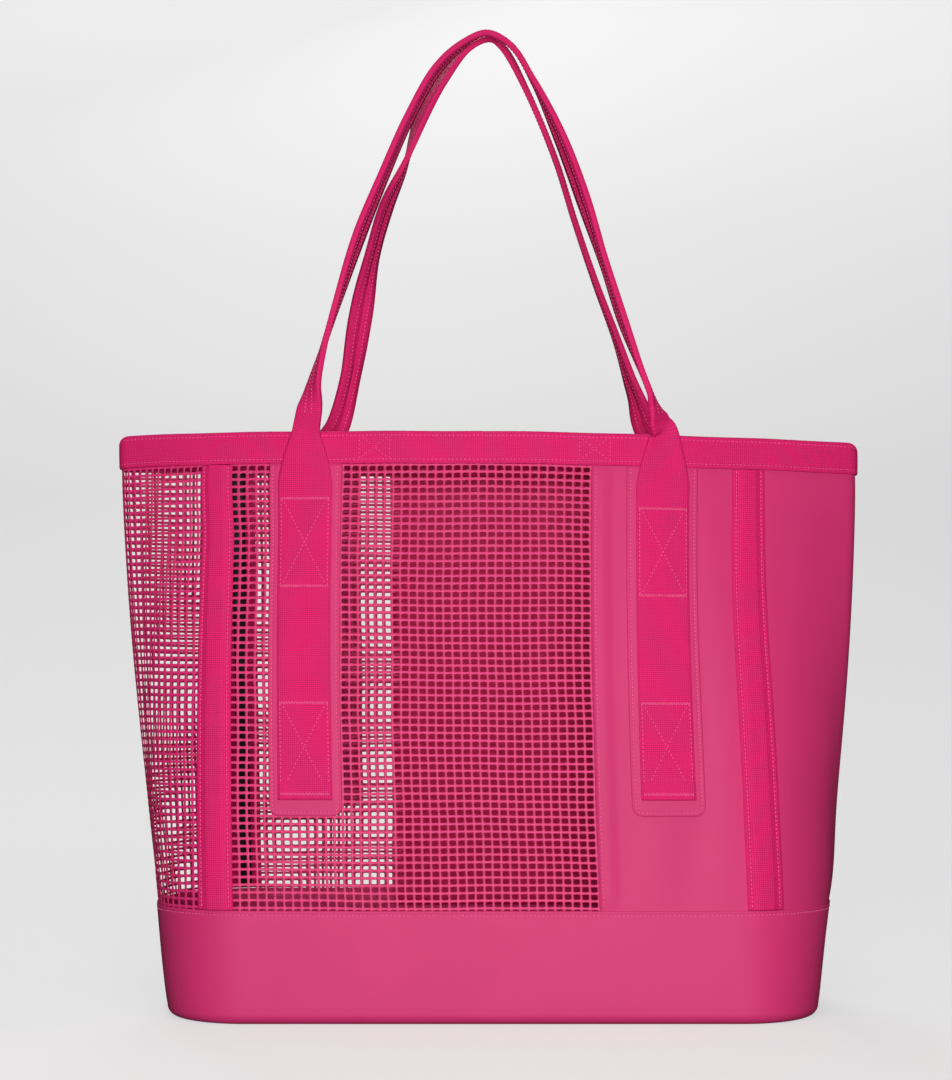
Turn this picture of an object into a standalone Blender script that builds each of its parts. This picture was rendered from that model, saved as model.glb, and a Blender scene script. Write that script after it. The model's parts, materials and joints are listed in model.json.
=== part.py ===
"""Beach bag: an open tote of square-hole net and coated fabric on a stiff base, with webbing
edging, four plastic corner stays and two folded webbing handles that fold down over the faces.

Metres, +Z up, the front faces -Y and +X is to the right. The origin is the middle of the
underside. The walls are one lofted surface, from a rounded rectangle at the base to a pointed
oval at the mouth. Every strip that is sewn to the walls is a parallel layer of that surface.

A place on the wall is a station and a height. Stations run round the bag: 0 is the middle of the
front, +EDGE the front right corner trim, +END the middle of the right end, and BACK the middle
of the back.
"""

import math

import bmesh
import bpy
import numpy as np
from mathutils import Vector

MM = 0.001

# Walls
RIM_Z = 440.0 * MM
RIM_HALF_LENGTH = 285.2 * MM
RIM_HALF_DEPTH = 54.0 * MM
RIM_END_RADIUS = 9.0 * MM
BASE_HALF_LENGTH = 243.0 * MM
BASE_HALF_DEPTH = 93.5 * MM
BASE_CORNER_RADIUS = 60.0 * MM
END_BULGE = 9.0 * MM
BULGE_POWER = 0.8  # below 1, the ends bulge most below the middle of their height
BULGE_FULLNESS = 0.6  # below 1, the bulge is full over more of the height
BULGE_REACH = 7  # an odd power: the higher, the closer the bulge keeps to the ends
LEAN_POWER = 1.25  # above 1, the faces stay upright near the base and lean in near the rim
SWAY = 6.5 * MM  # how far the front of the mouth stands to the left of the front of the base
DRIFT = 3.4 * MM  # how far the middle of the front's cloth hangs to the left
DRIFT_POWER = 1.3  # above 1, it hangs there most above the middle of its height

# Stations
EDGE = 200.0 * MM
END = 300.0 * MM
BACK = 2 * END
SEAM = 80.0 * MM
PATCH_STATION = 133.5 * MM
TAB_STATION = 82.0 * MM
QUARTER_MM = (0, 27, 53, 80, 107, 133.5, 160, 187.5, 200, 212.5, 224, 236, 248, 260, 272, 282, 289, 293, 297)
PROBE = 1.5 * MM  # half the distance over which the wall's slope is measured

# Layers
GAP = 0.3 * MM
FABRIC = 1.0 * MM
WEBBING = 1.5 * MM
PANEL_LOW_Z, PANEL_HIGH_Z = 69.0 * MM, 438.2 * MM

# Base
BAND_TOP_Z = 83.0 * MM
BASE_EDGE_RADIUS = 8.0 * MM
BOARD_THICKNESS = 3.0 * MM
BOARD_INSET = 9.0 * MM

# Edging
RIM_BAND_LOW_Z = 415.0 * MM
TRIM_WIDTH = 25.0 * MM
TRIM_BRIM = 4.0 * MM  # the flat part along each long edge of a trim
STAY_WIDTH, STAY_THICKNESS = 10.0 * MM, 1.3 * MM
TAB_WIDTH, TAB_HEIGHT = 24.0 * MM, 21.0 * MM

# Handle fixings
PATCH_WIDTH, PATCH_LOW_Z = 54.0 * MM, 152.0 * MM
PATCH_CORNER, PATCH_CORNER_POINT = 8.0 * MM, 2.0 * MM
STRAP_WIDTH = 40.0 * MM
TAIL_LOW_Z = 164.0 * MM
HINGE_Z = 390.0 * MM
HINGE_CLEARANCE = 0.5 * MM
STRAP_OFFSET = 2.3 * MM

# Handles
GRIP_WIDTH, GRIP_THICKNESS = 20.0 * MM, 4.5 * MM
SECTION_STEP = 11.0 * MM
EDGE_EASE = 0.3  # share of the strap's thickness that its corners are cut back by

# How the strap folds in on itself up to the rim's top edge: height, width and thickness
FOLD_PLAN = (
    (HINGE_Z + GAP, STRAP_WIDTH, WEBBING),
    (402.0 * MM, STRAP_WIDTH, WEBBING),
    (421.0 * MM, 32.0 * MM, 3.3 * MM),
    (439.0 * MM, 22.0 * MM, GRIP_THICKNESS),
)

# Route of each handle above the rim, in mm: x, distance from the middle plane, z, and the turn of
# the strap's face in degrees. 0 faces away from the bag and 90 faces outwards round the arch.
FRONT_ROUTE = (
    (-134.8, 51.5, 457, 19),
    (-133.2, 48, 472, 55),
    (-126.8, 44, 499, 77),
    (-114.8, 39, 541, 91),
    (-99, 33, 591, 103),
    (-81.3, 27, 637, 98),
    (-61.6, 19, 685, 95),
    (-40.5, 14, 724, 93),
    (-21, 12, 744, 84),
    (-1.5, 11.4, 754, 72),
    (17.5, 12, 744, 76),
    (34.7, 14, 716, 84),
    (55.8, 20, 669, 103),
    (72.8, 26, 621, 107),
    (87.5, 34, 573, 95),
    (101.7, 41, 526, 96),
    (115.5, 46, 487, 84),
    (124, 49, 464, 76),
    (130, 53.4, 456, 23),
)
BACK_ROUTE = (
    (-121, 50, 458, 28),
    (-110.9, 46, 495, 50),
    (-102.3, 40, 542, 31),
    (-93, 33, 589, 67),
    (-80.5, 27, 630, 72),
    (-66, 22, 661, 92),
    (-52, 17, 699, 121),
    (-37, 14, 724, 115),
    (-16, 12, 750, 110),
    (2, 11.4, 757, 109),
    (12, 12, 750, 107),
    (29, 14, 720, 101),
    (53, 20, 665, 96),
    (68.8, 28, 618, 95),
    (85.3, 35, 572, 93),
    (103.4, 42, 526, 88),
    (114, 46, 495, 75),
    (119.9, 48, 479, 61),
    (126.5, 51, 458, 22),
)

NET = (0.84, 0.09, 0.26, 1.0)
COATED = (0.70, 0.065, 0.18, 1.0)
WOVEN = (0.78, 0.03, 0.14, 1.0)
BLACK = (0.02, 0.02, 0.02, 1.0)
COVERED = (0.62, 0.05, 0.16, 1.0)


# ---------------------------------------------------------------- scene and materials


def clear_scene():
    for item in list(bpy.data.objects):
        bpy.data.objects.remove(item, do_unlink=True)


def new_collection(name):
    group = bpy.data.collections.new(name)
    bpy.context.scene.collection.children.link(group)
    return group


def principled(name, colour, roughness):
    material = bpy.data.materials.new(name)
    material.use_nodes = True
    shader = material.node_tree.nodes["Principled BSDF"]
    shader.inputs["Base Color"].default_value = colour
    shader.inputs["Roughness"].default_value = roughness
    shader.inputs["Metallic"].default_value = 0.0
    return material


# ---------------------------------------------------------------- wall surface


def base_quarter():
    """Front middle to right end of the base outline, as (x, y) points."""
    length, depth, radius = BASE_HALF_LENGTH, BASE_HALF_DEPTH, BASE_CORNER_RADIUS
    turn = np.linspace(0, math.pi / 2, 60)
    arc = np.stack([length - radius + radius * np.sin(turn), radius - depth - radius * np.cos(turn)], 1)
    return np.concatenate([[[0.0, -depth]], arc, [[length, 0.0]]])


def rim_quarter():
    """Front middle to right end of the mouth: a shallow arch that ends in a tight round."""
    radius = RIM_END_RADIUS
    centre = RIM_HALF_LENGTH - radius

    def slope_at(x, tip_x):
        return 2 * RIM_HALF_DEPTH * x / tip_x**2

    def miss(tip_x):
        """How far the arch passes outside the end circle."""
        xs = np.linspace(0.7 * centre, min(tip_x, RIM_HALF_LENGTH), 400)
        ys = RIM_HALF_DEPTH * (1 - (xs / tip_x) ** 2)
        return np.min(np.hypot(xs - centre, ys)) - radius

    low, high = RIM_HALF_LENGTH, 1.3 * RIM_HALF_LENGTH
    for _ in range(50):
        tip = (low + high) / 2
        low, high = (tip, high) if miss(tip) < 0 else (low, tip)
    xs = np.linspace(0, centre + radius * math.sin(math.atan(slope_at(centre, tip))), 120)
    arch = np.stack([xs, -RIM_HALF_DEPTH * (1 - (xs / tip) ** 2)], 1)
    start = math.atan2(xs[-1] - centre, -arch[-1, 1])
    turn = np.linspace(start, math.pi / 2, 20)[1:]
    arc = np.stack([centre + radius * np.sin(turn), -radius * np.cos(turn)], 1)
    return np.concatenate([arch, arc])


def stationed(points):
    """The outline's points with their stations: the trim's x is at EDGE and the end at END."""
    steps = np.hypot(*np.diff(points, axis=0).T)
    along = np.concatenate([[0], np.cumsum(steps)])
    at_edge = np.interp(EDGE, points[:, 0], along)
    station = np.where(
        along < at_edge,
        along / at_edge * EDGE,
        EDGE + (along - at_edge) / (along[-1] - at_edge) * (END - EDGE),
    )
    return station, points


BASE_OUTLINE = stationed(base_quarter())
RIM_OUTLINE = stationed(rim_quarter())


def outline_xy(outline, station):
    """A point of a whole outline, mirrored from its quarter."""
    turn = (station + BACK) % (2 * BACK) - BACK
    behind = abs(turn) > END
    folded = BACK - abs(turn) if behind else abs(turn)
    x = np.interp(folded, outline[0], outline[1][:, 0])
    y = np.interp(folded, outline[0], outline[1][:, 1])
    return (x if turn >= 0 else -x), (-y if behind else y)


def drift(station, rise):
    """How far the front's cloth hangs to the left. It is nothing at the ends and the back."""
    away = abs((station + BACK) % (2 * BACK) - BACK)
    share = min(max((END - away) / (END - EDGE), 0), 1)
    return DRIFT * math.sin(math.pi * rise**DRIFT_POWER) * (1 - math.cos(math.pi * share)) / 2


def wall(station, z):
    rise = z / RIM_Z
    base_x, base_y = outline_xy(BASE_OUTLINE, station)
    rim_x, rim_y = outline_xy(RIM_OUTLINE, station)
    bow = max(math.sin(math.pi * rise**BULGE_POWER), 0) ** BULGE_FULLNESS
    bulge = END_BULGE * bow * (base_x / BASE_HALF_LENGTH) ** BULGE_REACH
    frontness = (1 + math.cos(math.pi * station / BACK)) / 2
    sway = SWAY * (0.5 - rise * frontness) - drift(station, rise)
    x = base_x + (rim_x - base_x) * rise + bulge + sway
    return Vector((x, base_y + (rim_y - base_y) * rise**LEAN_POWER, z))


def wall_normal(station, z):
    round_the_bag = wall(station + PROBE, z) - wall(station - PROBE, z)
    upwards = wall(station, z + PROBE) - wall(station, z - PROBE)
    return round_the_bag.cross(upwards).normalized()


def layer(station, z, offset):
    """A point that stands off the wall by an offset, outwards if positive, at its own height."""
    normal = wall_normal(station, z)
    flat = Vector((normal.x, normal.y, 0)).normalized()
    return wall(station, z) + flat * offset


def stations(first, last):
    """Shared stations between two ends, close together where the wall bends."""
    quarter = [s * MM for s in QUARTER_MM]
    half = quarter + [END] + [BACK - s for s in reversed(quarter)]
    lap = half + [2 * BACK - s for s in reversed(half[1:-1])]
    inner = [s + laps * 2 * BACK for laps in (-1, 0) for s in lap]
    return [first] + [s for s in inner if first + MM < s < last - MM] + [last]


# ---------------------------------------------------------------- builders


def add_mesh(name, mesh, material, group):
    item = bpy.data.objects.new(name, mesh)
    item.data.materials.append(material)
    group.objects.link(item)
    return item


def split_quad(shape, low, next_low, next_high, high):
    """Two triangles that share the diagonal up to the next station, whichever way the rows run, so
    that layers stay parallel where the wall twists."""
    if high.co.z >= low.co.z:
        shape.faces.new((low, next_low, next_high))
        shape.faces.new((low, next_high, high))
    else:
        shape.faces.new((low, next_low, high))
        shape.faces.new((next_low, next_high, high))


def grid_mesh(name, rows, ring=False, closed=False):
    """A sheet through rows of points. A ring's rows join end to start, and a closed one's last row
    joins its first."""
    shape = bmesh.new()
    made = [[shape.verts.new(point) for point in row] for row in rows]
    if closed:
        made.append(made[0])
    for below, above in zip(made, made[1:]):
        spans = len(below) if ring else len(below) - 1
        for i in range(spans):
            j = (i + 1) % len(below)
            split_quad(shape, below[i], below[j], above[j], above[i])
    mesh = bpy.data.meshes.new(name)
    shape.to_mesh(mesh)
    shape.free()
    return mesh


def add_sheet(name, rows, thickness, material, group, ring=False):
    """A sheet thickened outwards from its inner face."""
    item = add_mesh(name, grid_mesh(name, rows, ring), material, group)
    solid = item.modifiers.new("Thickness", "SOLIDIFY")
    solid.thickness = thickness
    solid.offset = 1.0
    return item


def heights(low, high, count):
    return [low + (high - low) * i / count for i in range(count + 1)]


def add_panel(name, first, last, material, group):
    levels = [PANEL_LOW_Z] + heights(BAND_TOP_Z, RIM_BAND_LOW_Z, 5) + [PANEL_HIGH_Z]
    rows = [[layer(s, z, -FABRIC) for s in stations(first, last)] for z in levels]
    return add_sheet(name, rows, FABRIC, material, group)


def add_strip(name, columns, low, high, thickness, material, group, corner=0.0):
    """A strip up the wall. Columns are (station, offset) pairs, and a corner rounds its low end."""
    middle = (columns[0][0] + columns[-1][0]) / 2
    half = (columns[-1][0] - columns[0][0]) / 2

    def low_at(station):
        reach = abs(station - middle) - (half - corner)
        return low + corner - math.sqrt(max(corner**2 - max(reach, 0) ** 2, 0))

    rows = []
    for share in heights(0, 1, 5):
        rows.append([layer(s, low_at(s) + (high - low_at(s)) * share, out) for s, out in columns])
    return add_sheet(name, rows, thickness, material, group)


def add_flat(name, offset, z_low, thickness, material, group):
    """A flat board inside the base, as a filled outline."""
    curve = bpy.data.curves.new(name, "CURVE")
    curve.dimensions = "2D"
    curve.fill_mode = "BOTH"
    curve.extrude = thickness / 2
    around = stations(-BACK, BACK)[:-1]
    spline = curve.splines.new("POLY")
    spline.points.add(len(around) - 1)
    for point, s in zip(spline.points, around):
        place = layer(s, BASE_EDGE_RADIUS, offset)
        point.co = (place.x, place.y, 0, 1)
    spline.use_cyclic_u = True
    item = bpy.data.objects.new(name, curve)
    item.location.z = z_low + thickness / 2
    curve.materials.append(material)
    group.objects.link(item)
    return item


# ---------------------------------------------------------------- base


def add_base(looks, group):
    band_out = GAP + FABRIC
    add_flat("base_floor", band_out - BASE_EDGE_RADIUS - GAP, 0.0, FABRIC, looks["coated"], group)
    board_z = FABRIC + GAP
    board_out = band_out - BOARD_INSET
    add_flat("base_board", board_out, board_z, BOARD_THICKNESS, looks["board"], group)
    add_base_band(looks["coated"], group)


def add_base_band(material, group):
    """The skirt of the base: upright walls and a rounded bottom edge that turns under."""
    around = stations(-BACK, BACK)[:-1]
    inner = BASE_EDGE_RADIUS - FABRIC
    rows = []
    for turn in (math.radians(degrees) for degrees in (90, 68, 45, 22)):
        z = BASE_EDGE_RADIUS - inner * math.sin(turn)
        tuck = inner * (1 - math.cos(turn))
        spots = [layer(s, BASE_EDGE_RADIUS, GAP - tuck) for s in around]
        rows.append([Vector((p.x, p.y, z)) for p in spots])
    for z in (BASE_EDGE_RADIUS, 0.5 * BAND_TOP_Z, PANEL_LOW_Z, BAND_TOP_Z):
        rows.append([layer(s, z, GAP) for s in around])
    return add_sheet("base_band", rows, FABRIC, material, group, ring=True)


# ---------------------------------------------------------------- walls


def add_walls(looks, group):
    half_gap = GAP / 2
    left, right = -EDGE + half_gap, EDGE - half_gap
    add_panel("front_net_panel", left, SEAM - half_gap, looks["net"], group)
    add_panel("front_fabric_panel", SEAM + half_gap, right, looks["coated"], group)
    add_panel("right_fabric_end", EDGE + half_gap, BACK - EDGE - half_gap, looks["coated"], group)
    add_panel("back_fabric_panel", BACK - EDGE + half_gap, BACK + SEAM - half_gap, looks["coated"], group)
    add_panel("back_net_panel", BACK + SEAM + half_gap, BACK + EDGE - half_gap, looks["net"], group)
    add_panel("left_net_end", half_gap + EDGE - BACK, -half_gap - EDGE, looks["net"], group)


# ---------------------------------------------------------------- edging


CORNERS = (
    ("front_left", -EDGE),
    ("front_right", EDGE),
    ("back_right", BACK - EDGE),
    ("back_left", BACK + EDGE),
)


def add_corner_trims(looks, group):
    """A stay against the wall, with webbing crowned over it."""
    flat, crowned = GAP, STAY_THICKNESS + 2 * GAP
    trim_profile = (
        (-TRIM_WIDTH / 2, flat),
        (-TRIM_WIDTH / 2 + TRIM_BRIM, flat),
        (-STAY_WIDTH / 2 - GAP, crowned),
        (0, crowned),
        (STAY_WIDTH / 2 + GAP, crowned),
        (TRIM_WIDTH / 2 - TRIM_BRIM, flat),
        (TRIM_WIDTH / 2, flat),
    )
    low, high = BAND_TOP_Z + GAP, RIM_BAND_LOW_Z - GAP
    for place, station in CORNERS:
        trim = [(station + across, out) for across, out in trim_profile]
        add_strip(f"corner_trim_{place}", trim, low, high, WEBBING, looks["woven"], group)
        stay = [(station + across, flat) for across in (-STAY_WIDTH / 2, 0, STAY_WIDTH / 2)]
        add_strip(f"corner_stay_{place}", stay, low, high, STAY_THICKNESS, looks["black"], group)


def add_rim_binding(material, group):
    """Webbing folded over the top edge: an outer leg, a flat fold and an inner leg."""
    inner, outer = -FABRIC - GAP, GAP
    fold = RIM_Z - WEBBING
    section = (
        (outer, RIM_BAND_LOW_Z),
        (outer + WEBBING, RIM_BAND_LOW_Z),
        (outer + WEBBING, fold),
        (outer, RIM_Z),
        (inner, RIM_Z),
        (inner - WEBBING, fold),
        (inner - WEBBING, RIM_BAND_LOW_Z),
        (inner, RIM_BAND_LOW_Z),
        (inner, fold),
        (outer, fold),
    )
    around = stations(-BACK, BACK)[:-1]
    rows = [[layer(s, z, out) for s in around] for out, z in section]
    mesh = grid_mesh("rim_binding", rows, ring=True, closed=True)
    return add_mesh("rim_binding", mesh, material, group)


def add_rim_tabs(material, group):
    """Short webbing tabs sewn flat inside the rim."""
    middle = (RIM_BAND_LOW_Z + RIM_Z) / 2
    out = -FABRIC - 2 * GAP - 2 * WEBBING
    places = (
        ("front_left", -TAB_STATION),
        ("front_right", TAB_STATION),
        ("back_right", BACK - TAB_STATION),
        ("back_left", BACK + TAB_STATION),
    )
    for place, station in places:
        columns = [(station + across, out) for across in (-TAB_WIDTH / 2, 0, TAB_WIDTH / 2)]
        low, high = middle - TAB_HEIGHT / 2, middle + TAB_HEIGHT / 2
        add_strip(f"rim_tab_{place}", columns, low, high, WEBBING, material, group)


# ---------------------------------------------------------------- handles


def add_handle_fixings(looks, group):
    """Under each handle end, a fabric patch with the strap's sewn tail on it."""
    places = (
        ("front_left", -PATCH_STATION),
        ("front_right", PATCH_STATION),
        ("back_right", BACK - PATCH_STATION),
        ("back_left", BACK + PATCH_STATION),
    )
    half = PATCH_WIDTH / 2
    right_side = (half - PATCH_CORNER, half - PATCH_CORNER_POINT, half)
    across_patch = [-across for across in reversed(right_side)] + [0, *right_side]
    tail_out = 2 * GAP + FABRIC
    for place, station in places:
        patch = [(station + across, GAP) for across in across_patch]
        high = RIM_BAND_LOW_Z - GAP
        add_strip(
            f"handle_patch_{place}", patch, PATCH_LOW_Z, high, FABRIC, looks["coated"], group, PATCH_CORNER
        )
        tail = [(station + across, tail_out) for across in (-STRAP_WIDTH / 2, 0, STRAP_WIDTH / 2)]
        high = HINGE_Z - GAP
        add_strip(f"handle_tail_{place}", tail, TAIL_LOW_Z, high, WEBBING, looks["woven"], group)


def on_wall_stops(station):
    """The strap's path from the fold line to the rim's top edge, as stops (x, y, z, turn, width,
    thickness). It lies flat on the wall, then folds in on itself as it passes the rim."""
    stops = []
    for z, width, thickness in FOLD_PLAN:
        place = layer(station, z, STRAP_OFFSET + thickness / 2)
        normal = wall_normal(station, z)
        turn = math.degrees(math.asin(min(abs(normal.x), 1)))
        stops.append((place.x, place.y, z, turn, width, thickness))
    return stops


def handle_stops(route, left, right, facing):
    above = [
        (x * MM, -y * MM * facing, z * MM, turn, GRIP_WIDTH, GRIP_THICKNESS)
        for x, y, z, turn in route
    ]
    return np.array(on_wall_stops(left) + above + on_wall_stops(right)[::-1])


def smooth(stops, step):
    """Stops at even steps on a Catmull-Rom curve through the given ones."""
    lengths = np.linalg.norm(np.diff(stops[:, :3], axis=0), axis=1)
    knots = np.concatenate([[0], np.cumsum(np.sqrt(lengths))])
    whole = lengths.sum()
    slopes = np.gradient(stops, knots, axis=0)
    at = np.linspace(0, knots[-1], int(whole / step) + 1)
    span = np.clip(np.searchsorted(knots, at, side="right") - 1, 0, len(knots) - 2)
    width = (knots[span + 1] - knots[span])[:, None]
    t = ((at - knots[span]) / width[:, 0])[:, None]
    start, end = stops[span], stops[span + 1]
    rise, fall = slopes[span] * width, slopes[span + 1] * width
    return (
        (2 * t**3 - 3 * t**2 + 1) * start
        + (t**3 - 2 * t**2 + t) * rise
        + (3 * t**2 - 2 * t**3) * end
        + (t**3 - t**2) * fall
    )


def strap_section(centre, tangent, turn, width, thickness, facing):
    """Eight points round a flat strap with eased edges, its face turned about the path."""
    away = Vector((0, -facing, 0))
    away = (away - tangent * away.dot(tangent)).normalized()
    outwards = away.cross(tangent) * facing
    face = away * math.cos(turn) + outwards * math.sin(turn)
    side = tangent.cross(face)
    ease = EDGE_EASE * thickness
    half_w, half_t = width / 2, thickness / 2
    corners = (
        (half_w, half_t - ease),
        (half_w - ease, half_t),
        (-half_w + ease, half_t),
        (-half_w, half_t - ease),
        (-half_w, -half_t + ease),
        (-half_w + ease, -half_t),
        (half_w - ease, -half_t),
        (half_w, -half_t + ease),
    )
    return [centre + side * across + face * out for across, out in corners]


def hinge_y():
    """The fold line of the front handle, just outside the strap edges that stand out furthest."""
    out = STRAP_OFFSET + WEBBING + HINGE_CLEARANCE
    nearest = PATCH_STATION - STRAP_WIDTH / 2
    return min(layer(side * nearest, HINGE_Z, out).y for side in (-1, 1))


def add_handle(name, route, facing, material, group):
    """One handle. Facing is 1 in front and -1 behind, where the route is mirrored front to back."""
    left = -PATCH_STATION if facing == 1 else BACK + PATCH_STATION
    right = PATCH_STATION if facing == 1 else BACK - PATCH_STATION
    stops = smooth(handle_stops(route, left, right, facing), SECTION_STEP)
    places = [Vector(stop[:3]) for stop in stops]
    rings = []
    for i, stop in enumerate(stops):
        before, after = places[max(i - 1, 0)], places[min(i + 1, len(places) - 1)]
        tangent = (after - before).normalized()
        if i in (0, len(places) - 1):
            tangent = Vector((0, 0, 1 if i == 0 else -1))
        rings.append(strap_section(places[i], tangent, math.radians(stop[3]), stop[4], stop[5], facing))
    shape = bmesh.new()
    made = [[shape.verts.new(point) for point in ring] for ring in rings]
    for here, there in zip(made, made[1:]):
        for i in range(len(here)):
            j = (i + 1) % len(here)
            shape.faces.new((here[i], here[j], there[j], there[i]))
    shape.faces.new(made[0])
    shape.faces.new(made[-1])
    bmesh.ops.recalc_face_normals(shape, faces=shape.faces)
    origin = Vector((0, hinge_y() * facing, HINGE_Z))
    bmesh.ops.translate(shape, verts=shape.verts, vec=-origin)
    mesh = bpy.data.meshes.new(name)
    shape.to_mesh(mesh)
    shape.free()
    item = add_mesh(name, mesh, material, group)
    item.location = origin
    return item


def main():
    clear_scene()
    group = new_collection("beach_bag")
    looks = {
        "net": principled("net", NET, 0.45),
        "coated": principled("coated_fabric", COATED, 0.5),
        "woven": principled("webbing", WOVEN, 0.75),
        "black": principled("stay_plastic", BLACK, 0.4),
        "board": principled("base_board", COVERED, 0.5),
    }
    add_base(looks, group)
    add_walls(looks, group)
    add_corner_trims(looks, group)
    add_rim_binding(looks["woven"], group)
    add_rim_tabs(looks["woven"], group)
    add_handle_fixings(looks, group)
    add_handle("front_handle", FRONT_ROUTE, 1, looks["woven"], group)
    add_handle("back_handle", BACK_ROUTE, -1, looks["woven"], group)


main()
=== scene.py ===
"""Beach bag: the looks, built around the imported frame.

Every piece is laid on one lofted wall. It is the CAD part's surface, made a little uneven, with slack
in the cloth between its seams. A place on the wall is a station (metres round the bag, to the right
from the middle of the front), a height and an offset outwards from the wall.
"""

import json
import math

import bpy
import numpy as np
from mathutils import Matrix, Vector


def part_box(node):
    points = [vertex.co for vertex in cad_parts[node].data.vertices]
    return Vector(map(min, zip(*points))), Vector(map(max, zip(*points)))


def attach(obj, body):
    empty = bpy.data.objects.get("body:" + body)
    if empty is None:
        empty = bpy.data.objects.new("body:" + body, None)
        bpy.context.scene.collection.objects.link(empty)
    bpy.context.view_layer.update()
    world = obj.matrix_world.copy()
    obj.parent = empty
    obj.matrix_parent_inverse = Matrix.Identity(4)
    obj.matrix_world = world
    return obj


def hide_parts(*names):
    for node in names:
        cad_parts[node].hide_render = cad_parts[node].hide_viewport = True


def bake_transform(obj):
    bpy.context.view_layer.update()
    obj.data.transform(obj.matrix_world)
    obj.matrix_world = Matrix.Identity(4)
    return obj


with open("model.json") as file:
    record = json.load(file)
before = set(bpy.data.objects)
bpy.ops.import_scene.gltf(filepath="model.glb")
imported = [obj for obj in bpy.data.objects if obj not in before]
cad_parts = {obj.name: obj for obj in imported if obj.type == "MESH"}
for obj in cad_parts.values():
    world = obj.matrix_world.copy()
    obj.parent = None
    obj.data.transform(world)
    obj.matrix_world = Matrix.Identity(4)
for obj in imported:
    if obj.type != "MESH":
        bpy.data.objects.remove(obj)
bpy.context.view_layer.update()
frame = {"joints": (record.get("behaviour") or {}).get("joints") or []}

MM = 0.001

# Wall outline, as the CAD part has it
WALL_HEIGHT = 440.0 * MM  # where the wall has the rim's outline
RIM_HALF_LENGTH, RIM_HALF_DEPTH, RIM_END_RADIUS = 285.2 * MM, 54.0 * MM, 9.0 * MM
BASE_HALF_LENGTH, BASE_HALF_DEPTH, BASE_CORNER_RADIUS = 243.0 * MM, 93.5 * MM, 60.0 * MM
END_BULGE, BULGE_POWER, BULGE_FULLNESS, BULGE_REACH = 9.0 * MM, 0.8, 0.6, 7
LEAN_POWER, SWAY, DRIFT, DRIFT_POWER = 1.25, 6.5 * MM, 3.4 * MM, 1.3

# Stations, as the CAD part has them
EDGE, END, SEAM = 200.0 * MM, 300.0 * MM, 80.0 * MM
BACK, LAP = 2 * END, 4 * END
SEAMS = (SEAM, BACK + SEAM)
PATCH_STATION, TAB_STATION = 133.5 * MM, 82.0 * MM


def four_places(station):
    """A station and its mirror images, by the names of the four corners."""
    return {
        "front_left": LAP - station,
        "front_right": station,
        "back_right": BACK - station,
        "back_left": BACK + station,
    }


CORNERS, PATCHES, TABS = (four_places(station) for station in (EDGE, PATCH_STATION, TAB_STATION))

# Heights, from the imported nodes
RIM_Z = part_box("rim_binding")[1].z
RIM_LOW_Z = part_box("rim_binding")[0].z
BAND_TOP_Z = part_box("base_band")[1].z
PANEL_LOW_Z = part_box("front_net_panel")[0].z
PATCH_LOW_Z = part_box("handle_patch_front_left")[0].z
TAIL_LOW_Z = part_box("handle_tail_front_left")[0].z
RIM_MIDDLE_Z = (RIM_LOW_Z + RIM_Z) / 2
HINGE_Z = frame["joints"][0]["pos_m"][2]
BOARD_LOW, BOARD_HIGH = (corner.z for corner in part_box("base_board"))

# Cloth and webbing
GAP, FABRIC, WEBBING, STAY = 0.3 * MM, 1.0 * MM, 1.5 * MM, 1.3 * MM
TRIM_WIDTH, STAY_WIDTH, TAB_WIDTH, TAB_HEIGHT = 25.0 * MM, 10.0 * MM, 24.0 * MM, 21.0 * MM
PATCH_WIDTH, PATCH_CORNER = 54.0 * MM, 8.0 * MM
STRAP_WIDTH, GRIP_WIDTH, GRIP_THICKNESS = 40.0 * MM, 20.0 * MM, 4.5 * MM
BASE_EDGE_RADIUS = 8.0 * MM
TAB_OFFSET = -FABRIC - 2 * GAP - 2 * WEBBING
BOARD_INSET = 9.0 * MM

# Unevenness that only the visual model has. Starts, middles and spans are shares of the height.
RIM_TILT = 2.8 * MM  # how much higher the left end of the rim stands than its middle
BACK_RISE, BACK_RISE_POWER = 5.5 * MM, 8  # how much higher the back of the rim stands than its ends
RIM_END_DROP, RIM_END_REACH = 4.5 * MM, 6.5 * MM  # how the rim's top rounds down at its tight ends
TRIM_SHIFT, SHIFT_START, SHIFT_SPAN = 4.0 * MM, 0.8, 0.13  # top of the front left trim, to the left
TRIM_BOW, BOW_MIDDLE, BOW_SPAN = 2.8 * MM, 0.74, 0.2  # front right trim, to the left
TRIM_REACH = 45.0 * MM  # how far along the wall those two go
LOW_FLARE, LOW_FLARE_Z = 3.6 * MM, 98.0 * MM  # at the right end
LOW_FLARE_HEIGHT, LOW_FLARE_WIDTH = 42.0 * MM, 60.0 * MM

# Slack: how it fills out from the seams, how its ripples wander, and how the patches still them
FULLNESS_ALONG, FULLNESS_UP = 0.8, 0.6
WANDER, WANDER_LENGTH = 0.9, 110.0 * MM
STIFFNESS, STIFF_REACH, STIFF_BELOW = 0.85, 32.0 * MM, 10.0 * MM

# Strips, panels and bands
STRIP_STEP, STRIP_EASE = 5.0 * MM, 0.8 * MM
FABRIC_STEP, FABRIC_IN_RIM, PATCH_IN_RIM = 3.5 * MM, 15.0 * MM, 2.0 * MM
HEM_FLAT, HEM_EASE, HEM_LIFT = 10.0 * MM, 5.0 * MM, 1.35 * MM  # of the fabric's fold over the net
# The base band's lip, in mm below its top and in from its face: a soft edge, and a sewn groove
BAND_LIP = ((0, 0.45), (0.35, 0.1), (1.4, 0), (2.6, 0.12), (3.1, 0.3), (3.6, 0.12), (5, 0))
BAND_GROOVE = 3.1 * MM

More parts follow.
